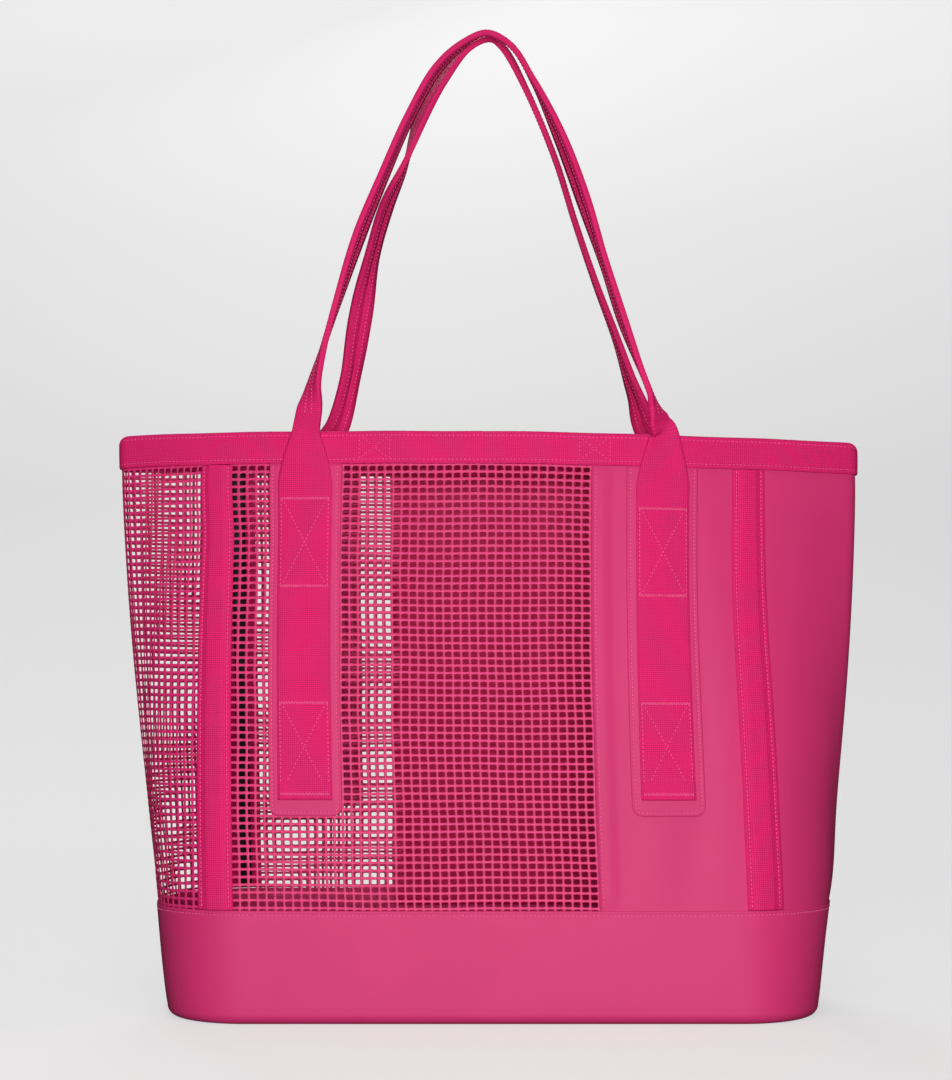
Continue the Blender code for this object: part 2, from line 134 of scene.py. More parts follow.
# Net
MESH_U, MESH_V = 6.45 * MM, 5.6 * MM
HOLE_U, HOLE_V, HOLE_CORNER = 4.55 * MM, 3.7 * MM, 0.93
NET_CROWN, NET_CROSSING = 0.42 * MM, 0.55 * MM
NET_UNDER_FABRIC, NET_UNDER_BAND, NET_IN_RIM = 6.0 * MM, 4.0 * MM, 5.0 * MM
NET_FROM_CORNER = 10.5 * MM  # its edge is under the corner trim
# Points round a mesh, in half meshes from its middle, and the rings of a hole: size and offset
AROUND = ((-1, -1), (0, -1), (1, -1), (1, 0), (1, 1), (0, 1), (-1, 1), (-1, 0))
HOLE_RINGS = ((1.1, 0.27 * MM), (1.0, 0.0), (1.1, -0.27 * MM))

# Wall panels: first and last station, then, in mm, how far the middle stands out, the ripple's
# height and its length, and then its phase
PANELS = {
    "front_net_panel": (-EDGE, SEAM, -0.8, 0.4, 66, 0.3),
    "front_fabric_panel": (SEAM, EDGE, 0.4, 1.2, 50, 2.6),
    "right_fabric_end": (EDGE, BACK - EDGE, 1.2, 1.0, 82, 0.5),
    "back_fabric_panel": (BACK - EDGE, BACK + SEAM, -0.8, 1.3, 64, 2.0),
    "back_net_panel": (BACK + SEAM, BACK + EDGE, 0.5, 0.9, 52, 0.8),
    "left_net_end": (BACK + EDGE, LAP - EDGE, 0.8, 1.2, 74, 1.4),
}

# Handle routes above the rim: x, distance from the middle plane and z, in mm, and the turn of the
# strap's face in degrees. They are the CAD part's, but for the front strap's last two stops, where
# it turns further than the CAD strap.
FRONT_ROUTE = (
    (-134.8, 51.5, 457, 19),
    (-133.2, 48, 472, 55),
    (-126.8, 44, 499, 77),
    (-114.8, 39, 541, 91),
    (-99, 33, 591, 103),
    (-81.3, 27, 637, 98),
    (-61.6, 19, 685, 95),
    (-40.5, 14, 724, 93),
    (-21, 12, 744, 84),
    (-1.5, 11.4, 754, 72),
    (17.5, 12, 744, 76),
    (34.7, 14, 716, 84),
    (55.8, 20, 669, 103),
    (72.8, 26, 621, 107),
    (87.5, 34, 573, 95),
    (101.7, 41, 526, 96),
    (115.5, 46, 487, 84),
    (124, 49, 464, 76),
    (127.2, 53.2, 454, 54),
    (128.9, 51.8, 446, 36),
)
BACK_ROUTE = (
    (-121, 50, 458, 28),
    (-110.9, 46, 495, 50),
    (-102.3, 40, 542, 31),
    (-93, 33, 589, 67),
    (-80.5, 27, 630, 72),
    (-66, 22, 661, 92),
    (-52, 17, 699, 121),
    (-37, 14, 724, 115),
    (-16, 12, 750, 110),
    (2, 11.4, 757, 109),
    (12, 12, 750, 107),
    (29, 14, 720, 101),
    (53, 20, 665, 96),
    (68.8, 28, 618, 95),
    (85.3, 35, 572, 93),
    (103.4, 42, 526, 88),
    (114, 46, 495, 75),
    (119.9, 48, 479, 61),
    (126.5, 51, 458, 22),
)
# How the strap folds in on itself up to the rim's top edge: height, width and thickness
FOLD_PLAN = (
    (HINGE_Z + GAP, STRAP_WIDTH, WEBBING),
    (402.0 * MM, STRAP_WIDTH, WEBBING),
    (421.0 * MM, 32.0 * MM, 3.3 * MM),
    (439.0 * MM, 22.0 * MM, GRIP_THICKNESS),
)
TAIL_OFFSET, STRAP_OFFSET = 1.6 * MM, 2.3 * MM
STRAP_STEP = 3.5 * MM
LIFT_Z, LIFT_SPAN = 392.0 * MM, 20.0 * MM  # where the strap leaves the tail's offset for its own
FREE_Z, FREE_SPAN = 426.0 * MM, 16.0 * MM  # where it leaves the wall for its route
BEND_LOW_Z, BEND_HIGH_Z = 386.0 * MM, 404.0 * MM  # where the strap bends as the handle folds; nothing here bends it
DIMPLE_Z, DIMPLE_HEIGHT = 409.0 * MM, 4.5 * MM  # just below the folded part
DIMPLE_WIDTH, DIMPLE_DEPTH = 9.0 * MM, 1.1 * MM
HEM_THICKNESS, HEM_HEIGHT = 2.5 * MM, 11.5 * MM

# Thread
STITCH_LENGTH, STITCH_WIDTH, STITCH_PITCH = 2.2 * MM, 0.66 * MM, 3.1 * MM
CROSS_LENGTH, CROSS_PITCH = 1.6 * MM, 3.0 * MM  # the shorter stitches of a crossed box
CROSS_INSET = 2.0 * MM
RIM_STITCH_WIDTH = 0.45 * MM  # those on the rim sink into its ribs
BAR_PITCH, BAR_HEIGHT = 1.15 * MM, 2.7 * MM  # a bar's close, slanting stitches
BAR_LEAN = 0.35 * BAR_PITCH
THREAD_LIFT = 0.02 * MM  # off the tails, and into the grip
BOX_WIDTH, LOWER_BOX, UPPER_BOX = 35.5 * MM, (170.5 * MM, 235.5 * MM), (322.5 * MM, 388.5 * MM)
UPPER_BOX_DROP = 6.0 * MM  # the front right one is lower
HEM_BAR_Z, GRIP_STITCH_Z = 168.5 * MM, 452.0 * MM
TRIM_ROW = 9.6 * MM  # from the trim's middle
PATCH_ROW, HEM_ROW = 2.8 * MM, 3.0 * MM  # from the edge

# Colours, sRGB
NET_PINK = (214, 46, 110)
COATED_PINK = (205, 48, 108)
# Deeper, darker pink of the coated cloth's inner side: painted shade for the inside of the bag. The
# webbing's sheen is tinted with it too.
INNER_SHADE_PINK = (192, 0, 78)
WOVEN_PINK = (229, 29, 109)
THREAD_PINK = (250, 92, 152)
STAY_BLACK = (10, 8, 10)

# Photographed view
EYE, LENS, RISE = (-0.0096, -1.495, 0.238), 63.93, 0.148

# Lights: place, aim, size and watts
BAG_MIDDLE = (0.0, 0.0, 0.35)
LIGHTS = {
    "key": ((0.03, -1.65, 0.36), BAG_MIDDLE, (0.7, 0.45), 26),
    "overhead": ((0.0, -0.9, 2.9), (0.0, -0.1, 0.0), (1.6, 1.4), 14),
    "behind": ((-0.5, 1.9, 2.1), BAG_MIDDLE, (1.4, 0.6), 20),
    "backdrop_light": ((0.0, 0.9, 3.2), (0.0, 2.4, 1.6), (4.0, 0.8), 17),
}
AIR_GLOW = 0.06
# The studio's own glow: at the floor, at a height where it is dimmest, and at a height near the top
FLOOR_GREY = (0.35, 0.35, 0.35, 1.0)
FLOOR_GLOW, DIM_GLOW, TOP_GLOW = 0.56, 0.51, 0.7
DIM_Z, TOP_Z = 0.64, 1.6


# ---- wall surface


def distances(line):
    """How far along a line of points each one is."""
    steps = np.linalg.norm(np.diff(line, axis=0), axis=1)
    return np.concatenate([[0], np.cumsum(steps)])


def base_quarter():
    """Front middle to right end of the base outline."""
    length, depth, radius = BASE_HALF_LENGTH, BASE_HALF_DEPTH, BASE_CORNER_RADIUS
    turn = np.linspace(0, math.pi / 2, 60)
    arc = np.stack([length - radius + radius * np.sin(turn), radius - depth - radius * np.cos(turn)], 1)
    return np.concatenate([[[0.0, -depth]], arc, [[length, 0.0]]])


def rim_quarter():
    """Front middle to right end of the mouth: a shallow arch that ends in a tight round."""
    radius = RIM_END_RADIUS
    centre = RIM_HALF_LENGTH - radius

    def miss(tip_x):
        """How far the arch passes outside the end circle."""
        xs = np.linspace(0.7 * centre, min(tip_x, RIM_HALF_LENGTH), 400)
        ys = RIM_HALF_DEPTH * (1 - (xs / tip_x) ** 2)
        return np.min(np.hypot(xs - centre, ys)) - radius

    low, high = RIM_HALF_LENGTH, 1.3 * RIM_HALF_LENGTH
    for _ in range(50):
        tip = (low + high) / 2
        low, high = (tip, high) if miss(tip) < 0 else (low, tip)
    slope = 2 * RIM_HALF_DEPTH * centre / tip**2
    xs = np.linspace(0, centre + radius * math.sin(math.atan(slope)), 120)
    arch = np.stack([xs, -RIM_HALF_DEPTH * (1 - (xs / tip) ** 2)], 1)
    start = math.atan2(xs[-1] - centre, -arch[-1, 1])
    turn = np.linspace(start, math.pi / 2, 20)[1:]
    arc = np.stack([centre + radius * np.sin(turn), -radius * np.cos(turn)], 1)
    return np.concatenate([arch, arc])


def stationed(points):
    """The outline's stations and points: the trim's x is at EDGE and the end at END."""
    along = distances(points)
    at_edge = np.interp(EDGE, points[:, 0], along)
    past = EDGE + (along - at_edge) / (along[-1] - at_edge) * (END - EDGE)
    return np.where(along < at_edge, along / at_edge * EDGE, past), points


BASE_OUTLINE = stationed(base_quarter())
RIM_OUTLINE = stationed(rim_quarter())


def outline_xy(outline, station):
    """Points of a whole outline, mirrored from its quarter."""
    turn = (station + BACK) % LAP - BACK
    behind = np.abs(turn) > END
    folded = np.where(behind, BACK - np.abs(turn), np.abs(turn))
    x = np.interp(folded, outline[0], outline[1][:, 0])
    y = np.interp(folded, outline[0], outline[1][:, 1])
    return np.where(turn >= 0, x, -x), np.where(behind, -y, y)


def drift(station, rise):
    """How far the front's cloth hangs to the left. It is nothing at the ends and the back."""
    away = np.abs((station + BACK) % LAP - BACK)
    share = np.clip((END - away) / (END - EDGE), 0, 1)
    hang = DRIFT * np.sin(math.pi * rise**DRIFT_POWER) * (1 - np.cos(math.pi * share)) / 2
    shift = TRIM_SHIFT * smoothstep((rise - SHIFT_START) / SHIFT_SPAN)
    bow = TRIM_BOW * hump(rise - BOW_MIDDLE, BOW_SPAN)
    return hang + shift * near(station, -EDGE, TRIM_REACH) + bow * near(station, EDGE, TRIM_REACH)


def smoothstep(value):
    share = np.clip(value, 0, 1)
    return share * share * (3 - 2 * share)


def hump(away, reach):
    """1 at no distance, falling to 0 past a reach."""
    return np.exp(-((away / reach) ** 2))


def near(station, place, reach):
    """A hump along the wall, round a station."""
    return hump((station - place + BACK) % LAP - BACK, reach)


def wall(station, z):
    """Points of the CAD part's wall, with the unevenness that only the visual model has."""
    rise = np.clip(z / WALL_HEIGHT, 0, None)
    base_x, base_y = outline_xy(BASE_OUTLINE, station)
    rim_x, rim_y = outline_xy(RIM_OUTLINE, station)
    bow = np.clip(np.sin(math.pi * rise**BULGE_POWER), 0, None) ** BULGE_FULLNESS
    bulge = END_BULGE * bow * (base_x / BASE_HALF_LENGTH) ** BULGE_REACH
    frontness = (1 + np.cos(math.pi * station / BACK)) / 2
    sway = SWAY * (0.5 - rise * frontness) - drift(station, rise)
    flare = LOW_FLARE * hump(z - LOW_FLARE_Z, LOW_FLARE_HEIGHT) * near(station, END, LOW_FLARE_WIDTH)
    x = base_x + (rim_x - base_x) * rise + bulge + sway + flare
    y = base_y + (rim_y - base_y) * rise**LEAN_POWER
    tilt = RIM_TILT * x / RIM_HALF_LENGTH * rise**2
    behind = BACK_RISE * smoothstep(y / RIM_HALF_DEPTH) * rise**BACK_RISE_POWER
    return np.stack([x, y, z - tilt + behind], -1)


def wall_normal(station, z):
    """Level unit vectors that point outwards."""
    step = 1.5 * MM
    around = wall(station + step, z) - wall(station - step, z)
    upwards = wall(station, z + step) - wall(station, z - step)
    normal = np.cross(around, upwards)
    normal[..., 2] = 0
    return normal / np.linalg.norm(normal, axis=-1, keepdims=True)


def slack(station, z):
    """How far the loose cloth stands off the CAD wall. It is nothing at every seam."""
    place = (station + EDGE) % LAP - EDGE
    level = np.clip((z - BAND_TOP_Z) / (RIM_LOW_Z - BAND_TOP_Z), 0, 1)
    from_patch = np.abs(np.abs((place + BACK / 2) % BACK - BACK / 2) - PATCH_STATION)
    patched = np.exp(-((from_patch / STIFF_REACH) ** 4)) * (z > PATCH_LOW_Z - STIFF_BELOW)
    total = np.zeros(np.shape(place))
    for first, last, belly, ripple, length, phase in PANELS.values():
        share = np.clip((place - first) / (last - first), 0, 1)
        wander = phase + WANDER * np.sin(z / WANDER_LENGTH + phase)
        wave = (1 - STIFFNESS * patched) * np.sin(math.tau * (place - first) / (length * MM) + wander)
        total += np.sin(math.pi * share) ** FULLNESS_ALONG * (belly + ripple * wave) * MM
    return total * np.sin(math.pi * level) ** FULLNESS_UP


def layer(station, z, offset=0.0):
    """Points that stand off the wall by an offset, outwards if positive."""
    station, z, offset = np.broadcast_arrays(*(np.asarray(v, float) for v in (station, z, offset)))
    return wall(station, z) + wall_normal(station, z) * (offset + slack(station, z))[..., None]


# ---- meshes


def lattice_quads(rows, columns, ring=False, tube=False):
    """Quads of a lattice of points. A ring joins the last row to the first, a tube the columns."""
    index = np.arange(rows * columns).reshape(rows, columns)
    if tube:
        index = np.concatenate([index, index[:, :1]], 1)
    if ring:
        index = np.concatenate([index, index[:1]], 0)
    return np.stack([index[:-1, :-1], index[:-1, 1:], index[1:, 1:], index[1:, :-1]], -1).reshape(-1, 4)


def edge_walls(index):
    """Quads from the border of a lattice to that of a second one, whose points follow the first's."""
    border = np.concatenate([index[0, :-1], index[:-1, -1], index[-1, :0:-1], index[:0:-1, 0]])
    following = np.roll(border, -1)
    return np.stack([border, border + index.size, following + index.size, following], -1)


def grid(across, along):
    """Pairs from two arrays, at every point of their common shape."""
    return np.stack(np.broadcast_arrays(across, along), -1)


def new_object(name, data):
    made = bpy.data.objects.new(name, data)
    bpy.context.scene.collection.objects.link(made)
    return made


def add_mesh(name, points, faces, look, cloth=None, wrapping=0):
    """A smooth mesh. Cloth is each point's place on the flat cloth, in metres, with 1 as its third
    number on the inner side. The last faces of a ring wrap back to its first points, where the cloth
    has gone once round the bag."""
    mesh = bpy.data.meshes.new(name)
    faces = [list(face) for face in faces]
    mesh.from_pydata(np.asarray(points).reshape(-1, 3).tolist(), [], faces)
    if cloth is not None:
        corner = np.concatenate(faces)
        flat = np.asarray(cloth, np.float32).reshape(len(mesh.vertices), -1)
        spot = np.zeros((len(corner), 3), np.float32)
        spot[:, : flat.shape[1]] = flat[corner]
        late = np.arange(len(corner)) >= len(corner) - 4 * wrapping
        spot[late & (corner < wrapping), 1] += LAP
        places = mesh.attributes.new("cloth", "FLOAT_VECTOR", "CORNER")
        places.data.foreach_set("vector", spot.ravel())
    mesh.materials.append(LOOKS[look])
    mesh.shade_smooth()
    return new_object(name, mesh)


def add_tube(name, rings, look, cloth, ring=False):
    """A mesh through closed outlines: rings is rows x points x 3. Its ends are capped."""
    rows, columns = rings.shape[:2]
    faces = lattice_quads(rows, columns, ring=ring, tube=True).tolist()
    if not ring:
        faces.append(list(range(columns))[::-1])
        faces.append(list(range((rows - 1) * columns, rows * columns)))
    return add_mesh(name, rings, faces, look, cloth, wrapping=columns if ring else 0)


def add_slab(name, outer, inner, look, cloth):
    """A closed sheet between two lattices of points with the same shape."""
    rows, columns = outer.shape[:2]
    count = rows * columns
    quads = lattice_quads(rows, columns)
    walls = edge_walls(np.arange(count).reshape(rows, columns))
    faces = np.concatenate([quads, quads[:, ::-1] + count, walls])
    points = np.concatenate([outer.reshape(-1, 3), inner.reshape(-1, 3)])
    side = np.repeat([0.0, 1.0], count)[:, None]
    flat = np.concatenate([cloth.reshape(-1, 2)] * 2)
    return add_mesh(name, points, faces, look, np.concatenate([flat, side], 1))


def strip_outline(width, thickness, spans):
    """Closed outline of flat webbing with soft edges, as across and out pairs."""
    ease = thickness / 2
    across = np.linspace(-width / 2 + ease, width / 2 - ease, spans + 1)
    outer = [(x, thickness) for x in across]
    right = [(width / 2 - 0.15 * ease, share * thickness) for share in (0.78, 0.22)]
    left = [(-x, thickness - out) for x, out in right]
    inner = [(-x, 0.0) for x in across]
    return np.array(outer + right + inner + left)


def end_steps(low, high, step, soft):
    """Even places from low to high with three close ones at each end, and how thick each is."""
    middle = np.linspace(low + 2 * soft, high - 2 * soft, max(int((high - low) / step), 2))
    close = np.array([0.0, 0.35, 1.0]) * soft
    places = np.concatenate([low + close, middle, high - close[::-1]])
    thick = np.concatenate([[0.35, 0.8, 1.0], np.ones(len(middle)), [1.0, 0.8, 0.35]])
    return places, thick


def add_wall_strip(name, station, low, high, outline, base, look, lift=0.0):
    """Webbing up the wall, laid at a base offset and lifted over what is under it."""
    heights, thick = end_steps(low, high, STRIP_STEP, STRIP_EASE)
    across, out = outline.T
    middle = out.max() / 2
    offset = base + lift + middle + (out - middle) * thick[:, None]
    rings = layer(station + across, heights[:, None], offset)
    return add_tube(name, rings, look, grid(across, heights[:, None]))


def settle(piece, node):
    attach(piece, "bag")
    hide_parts(node)


# ---- stitches


def unit(vectors):
    return vectors / np.maximum(np.linalg.norm(vectors, axis=-1, keepdims=True), 1e-12)


def evenly(line, pitch):
    """Fractional places along a line of points, a pitch apart."""
    along = distances(line)
    count = max(int(along[-1] / pitch), 1)
    at = (np.arange(count) + 0.5) * along[-1] / count
    return np.interp(at, along, np.arange(len(line)))


def pick(values, places):
    """Values between rows of an array, at fractional places."""
    whole = np.clip(places.astype(int), 0, len(values) - 2)
    share = (places - whole)[:, None]
    return values[whole] * (1 - share) + values[whole + 1] * share


def grain_points():
    """Points of a stitch one unit long and wide: a blunt grain whose two tips dip into the cloth."""
    around = ((0.5, 0), (0, 0.5), (-0.5, 0), (0, -0.5))
    body = [(ahead, side, out) for ahead in (-0.27, 0.27) for side, out in around]
    return np.array([(-0.5, 0, -0.7), *body, (0.5, 0, -0.7)])


def grain_faces():
    """Triangles of a stitch: one tip, the body and the other tip."""
    pairs = [(1 + k, 1 + (k + 1) % 4) for k in range(4)]
    first = [(0, a, b) for a, b in pairs]
    body = [face for a, b in pairs for face in ((a, b + 4, b), (a, a + 4, b + 4))]
    last = [(9, b + 4, a + 4) for a, b in pairs]
    return np.array(first + body + last)


GRAIN, GRAIN_FACES = grain_points(), grain_faces()


class Thread:
    """Collects stitches, which become one mesh."""

    def __init__(self):
        self.stitches = []

    def along(self, line, normals, pitch=STITCH_PITCH, length=STITCH_LENGTH, width=STITCH_WIDTH):
        """A row of stitches on a line of points, with the directions that face out of the cloth."""
        places = evenly(line, pitch)
        ahead = unit(pick(np.gradient(line, axis=0), places))
        self.add(pick(line, places), ahead, unit(pick(normals, places)), length, width)

    def add(self, centres, ahead, outwards, length, width):
        axes = np.stack([ahead, unit(np.cross(ahead, outwards)), outwards], 1)
        grain = GRAIN * (length, width, width)
        self.stitches.append(centres[:, None] + np.einsum("kc,ncx->nkx", grain, axes))

    def row(self, station, z, offset, **settings):
        """A row of stitches through places on the wall."""
        station, z, offset = np.broadcast_arrays(station, z, offset)
        self.along(layer(station, z, offset), wall_normal(station, z), **settings)

    def box(self, left, right, low, high, offset):
        """A sewn box with a cross in it, and a dense bar along its top and bottom."""
        for side in (left, right):
            self.row(side, np.linspace(low, high, 24), offset)
        across = np.linspace(left + CROSS_INSET, right - CROSS_INSET, 24)
        up = np.linspace(low + CROSS_INSET, high - CROSS_INSET, 24)
        for diagonal in (across, across[::-1]):
            self.row(diagonal, up, offset, pitch=CROSS_PITCH, length=CROSS_LENGTH)
        for level in (low, high):
            self.bar(left, right, level, offset)

    def bar(self, left, right, z, offset):
        """A bar of close slanting stitches."""
        count = int((right - left) / BAR_PITCH)
        at = np.linspace(left, right, count)
        lean = BAR_LEAN * np.where(np.arange(count) % 2, 1, -1)
        low = layer(at - lean, z - BAR_HEIGHT / 2, offset)
        high = layer(at + lean, z + BAR_HEIGHT / 2, offset)
        normals = wall_normal(at, np.full(count, z))
        self.add((low + high) / 2, unit(high - low), normals, BAR_HEIGHT, STITCH_WIDTH)

    def mesh(self, name, slot):
        corners = np.concatenate(self.stitches)
        starts = np.arange(len(corners))[:, None, None] * len(GRAIN)
        piece = add_mesh(name, corners, (GRAIN_FACES + starts).reshape(-1, 3), "thread")
        return piece


# ---- materials


def srgb(colour):
    linear = []
    for value in colour:
        share = value / 255
        linear.append(share / 12.92 if share <= 0.04045 else ((share + 0.055) / 1.055) ** 2.4)
    return (*linear, 1.0)


def shaded(colour, times):
    return (*(min(channel * times, 1.0) for channel in srgb(colour)[:3]), 1.0)


class Look:
    """A material in the making, whose nodes feed the sockets of its main shader."""

    def __init__(self, name, levels):
        """Levels are plain values, set on the main shader's own sockets."""
        self.material = bpy.data.materials.new(name)
        self.material.use_nodes = True
        self.tree = self.material.node_tree
        self.shader = self.tree.nodes["Principled BSDF"]
        for socket, value in levels.items():
            self.shader.inputs[socket].default_value = value

    def node(self, kind, sockets, **settings):
        """A new node. A socket takes a value or another node's output."""
        made = self.tree.nodes.new("ShaderNode" + kind)
        for key, value in settings.items():
            setattr(made, key, value)
        for key, value in sockets.items():
            if isinstance(value, bpy.types.NodeSocket):
                self.tree.links.new(value, made.inputs[key])
            else:
                made.inputs[key].default_value = value
        return made

    def feed(self, socket, value):
        self.tree.links.new(value, self.shader.inputs[socket])

    def calc(self, operation, *values):
        return self.node("Math", dict(enumerate(values)), operation=operation).outputs[0]

    def place(self):
        """The point's place on the object, in metres."""
        return self.node("TexCoord", {}).outputs["Object"]

    def cloth(self):
        """The point's place on the flat cloth: across, along, and 1 on the inner side."""
        spot = self.node("Attribute", {}, attribute_name="cloth").outputs["Vector"]
        return self.node("SeparateXYZ", {0: spot}).outputs

    def noise(self, scale, detail=2.0):
        sockets = {"Vector": self.place(), "Scale": scale, "Detail": detail}
        return self.node("TexNoise", sockets).outputs["Fac"]

    def ranged(self, value, low, high, to_low=0.0, to_high=1.0):
        sockets = dict(enumerate((value, low, high, to_low, to_high)))
        return self.node("MapRange", sockets).outputs[0]

    def patchy(self, scale, detail=2.0, most=1.0):
        """Soft patches, from 0 to the most."""
        return self.ranged(self.noise(scale, detail), 0.3, 0.7, 0.0, most)

    def blend(self, share, low, high):
        """A colour between two."""
        return self.node("Mix", {0: share, 6: low, 7: high}, data_type="RGBA").outputs[2]

    def bump(self, height, distance, strength, under=None):
        sockets = {"Height": height, "Distance": distance, "Strength": strength}
        if under is not None:
            sockets["Normal"] = under
        raised = self.node("Bump", sockets).outputs[0]
        self.feed("Normal", raised)
        return raised

    def crown(self, value):
        """A rounded yarn across each whole step of a value."""
        centred = self.calc("MULTIPLY_ADD", self.calc("FRACT", value), 2.0, -1.0)
        return self.calc("SUBTRACT", 1.0, self.calc("MULTIPLY", centred, centred))

    def weave(self, pitch_across, pitch_along):
        """Height of a plain weave: warp and weft are on top on every other square."""
        flat = self.cloth()
        across = self.calc("DIVIDE", flat[0], pitch_across)
        along = self.calc("DIVIDE", flat[1], pitch_along)
        squares = self.calc("ADD", self.calc("FLOOR", across), self.calc("FLOOR", along))
        odd = self.calc("FLOORED_MODULO", squares, 2.0)
        warp, weft = self.crown(across), self.crown(along)
        even_height = self.calc("MULTIPLY", warp, self.calc("MULTIPLY_ADD", weft, 0.5, 0.5))
        odd_height = self.calc("MULTIPLY", weft, self.calc("MULTIPLY_ADD", warp, 0.5, 0.5))
        even = self.calc("MULTIPLY", even_height, self.calc("SUBTRACT", 1.0, odd))
        return self.calc("MULTIPLY_ADD", odd_height, odd, even)


def webbing_material():
    levels = {"Roughness": 0.7, "Specular IOR Level": 0.25}
    sheen = {"Sheen Weight": 0.25, "Sheen Roughness": 0.45, "Sheen Tint": srgb(INNER_SHADE_PINK)}
    look = Look("webbing", levels | sheen)
    height = look.weave(1.45 * MM, 1.55 * MM)
    # The weave's height paints its colour too: painted shade in the grooves between yarns, at 0.62 of
    # the pink, and a painted highlight on their crowns, at 1.08.
    yarn = look.blend(look.ranged(height, 0.0, 0.9), shaded(WOVEN_PINK, 0.62), shaded(WOVEN_PINK, 1.08))
    patchy = look.patchy(38.0, 3.0)
    worn = look.blend(patchy, yarn, shaded(WOVEN_PINK, 1.12))
    look.feed("Base Color", look.blend(look.calc("MULTIPLY", patchy, 0.2), yarn, worn))
    fuzz = look.bump(look.noise(2400.0), 0.1 * MM, 0.35)
    look.bump(height, 0.35 * MM, 0.9, fuzz)
    return look.material


def coated_material(name, tone=1.0):
    look = Look(name, {"Specular IOR Level": 0.24})
    cloudy = look.patchy(9.0, 3.0)
    outer = look.blend(cloudy, shaded(COATED_PINK, 0.955 * tone), shaded(COATED_PINK, 1.03 * tone))
    # The inner side takes the deeper pink: painted shade inside the bag.
    look.feed("Base Color", look.blend(look.cloth()[2], outer, srgb(INNER_SHADE_PINK)))
    grain = look.noise(1500.0, 3.0)
    look.feed("Roughness", look.ranged(grain, 0.2, 0.8, 0.52, 0.66))
    fine = look.bump(grain, 0.08 * MM, 0.35)
    look.bump(look.noise(42.0), 0.8 * MM, 0.12, fine)
    return look.material


def net_material():
    """Coated yarns. The level ones are painted lighter than the upright ones: a painted highlight for
    the light they catch, as they stand a little prouder.
    """
    look = Look("net", {"Roughness": 0.5, "Specular IOR Level": 0.3})
    from_level = look.crown(look.calc("DIVIDE", look.cloth()[1], MESH_V))
    level = look.ranged(from_level, 0.35, 0.75, 1.0, 0.0)
    # Painted highlight: level yarns at 1.06 of the pink, the rest at 0.86.
    colour = look.blend(level, shaded(NET_PINK, 0.86), shaded(NET_PINK, 1.06))
    look.feed("Base Color", look.blend(look.patchy(30.0, most=0.25), colour, shaded(NET_PINK, 0.8)))
    look.bump(look.noise(1300.0), 0.12 * MM, 0.4)
    return look.material


def thread_material():
    look = Look("thread", {"Roughness": 0.55, "Sheen Weight": 0.2})
    colour = look.blend(look.patchy(260.0), shaded(THREAD_PINK, 0.8), shaded(THREAD_PINK, 1.05))
    look.feed("Base Color", colour)
    look.bump(look.noise(3800.0, 1.0), 0.1 * MM, 0.5)
    return look.material


def stay_material():
    look = Look("stay_plastic", {"Specular IOR Level": 0.2})
    scuffed = look.ranged(look.noise(120.0, 4.0), 0.35, 0.75)
    look.feed("Base Color", look.blend(scuffed, srgb(STAY_BLACK), shaded(STAY_BLACK, 2.2)))
    look.feed("Roughness", look.ranged(scuffed, 0.0, 1.0, 0.35, 0.55))
    look.bump(look.noise(900.0), 0.05 * MM, 0.3)
    return look.material


LOOKS = {
    "webbing": webbing_material(),
    "coated": coated_material("coated_fabric"),
    "board": coated_material("board_cover", 0.9),
    "net": net_material(),
    "thread": thread_material(),
    "stay": stay_material(),
}


# ---- wall panels


def net_points(columns, rows, place):
    """Points of a net, yarns first and then holes, and where each is on the flat cloth."""
    u, v = np.meshgrid(np.arange(2 * columns + 1) / 2, np.arange(2 * rows + 1) / 2)
    crossing = (u % 1 == 0) & (v % 1 == 0)
    thick = np.where(crossing, NET_CROSSING, NET_CROWN)
    points = [place(u, v, thick), place(u, v, -thick)]
    cell = grid(*np.meshgrid(np.arange(columns) + 0.5, np.arange(rows) + 0.5))[:, :, None]
    step = np.array(AROUND) * (HOLE_U / MESH_U / 2, HOLE_V / MESH_V / 2)
    corner = np.where(np.all(step != 0, axis=1), HOLE_CORNER, 1.0)[:, None]
    for spread, offset in HOLE_RINGS:
        at = cell + step * spread * corner
        points.append(place(at[..., 0], at[..., 1], offset))
    flat = [grid(u, v).reshape(-1, 2)] * 2 + [(cell + step).reshape(-1, 2)] * len(HOLE_RINGS)
    return np.concatenate([p.reshape(-1, 3) for p in points]), np.concatenate(flat) * (MESH_U, MESH_V)


def net_faces(columns, rows):
    """Quads of a net: from each mesh's border in front, through its hole, to its border behind."""
    width, height = 2 * columns + 1, 2 * rows + 1
    count, cells = width * height, rows * columns * len(AROUND)
    centre = (2 * np.arange(rows)[:, None] + 1) * width + 2 * np.arange(columns) + 1
    border = np.stack([centre + dv * width + du for du, dv in AROUND], -1)
    hole = 2 * count + np.arange(cells).reshape(rows, columns, -1)
    loops = [border, *(hole + ring * cells for ring in range(len(HOLE_RINGS))), border + count]
    faces = []
    for outer, inner in zip(loops, loops[1:]):
        quads = [outer, np.roll(outer, -1, 2), np.roll(inner, -1, 2), inner]
        faces.append(np.stack(quads, -1).reshape(-1, 4))
    faces.append(edge_walls(np.arange(count).reshape(height, width)))
    return np.concatenate(faces)


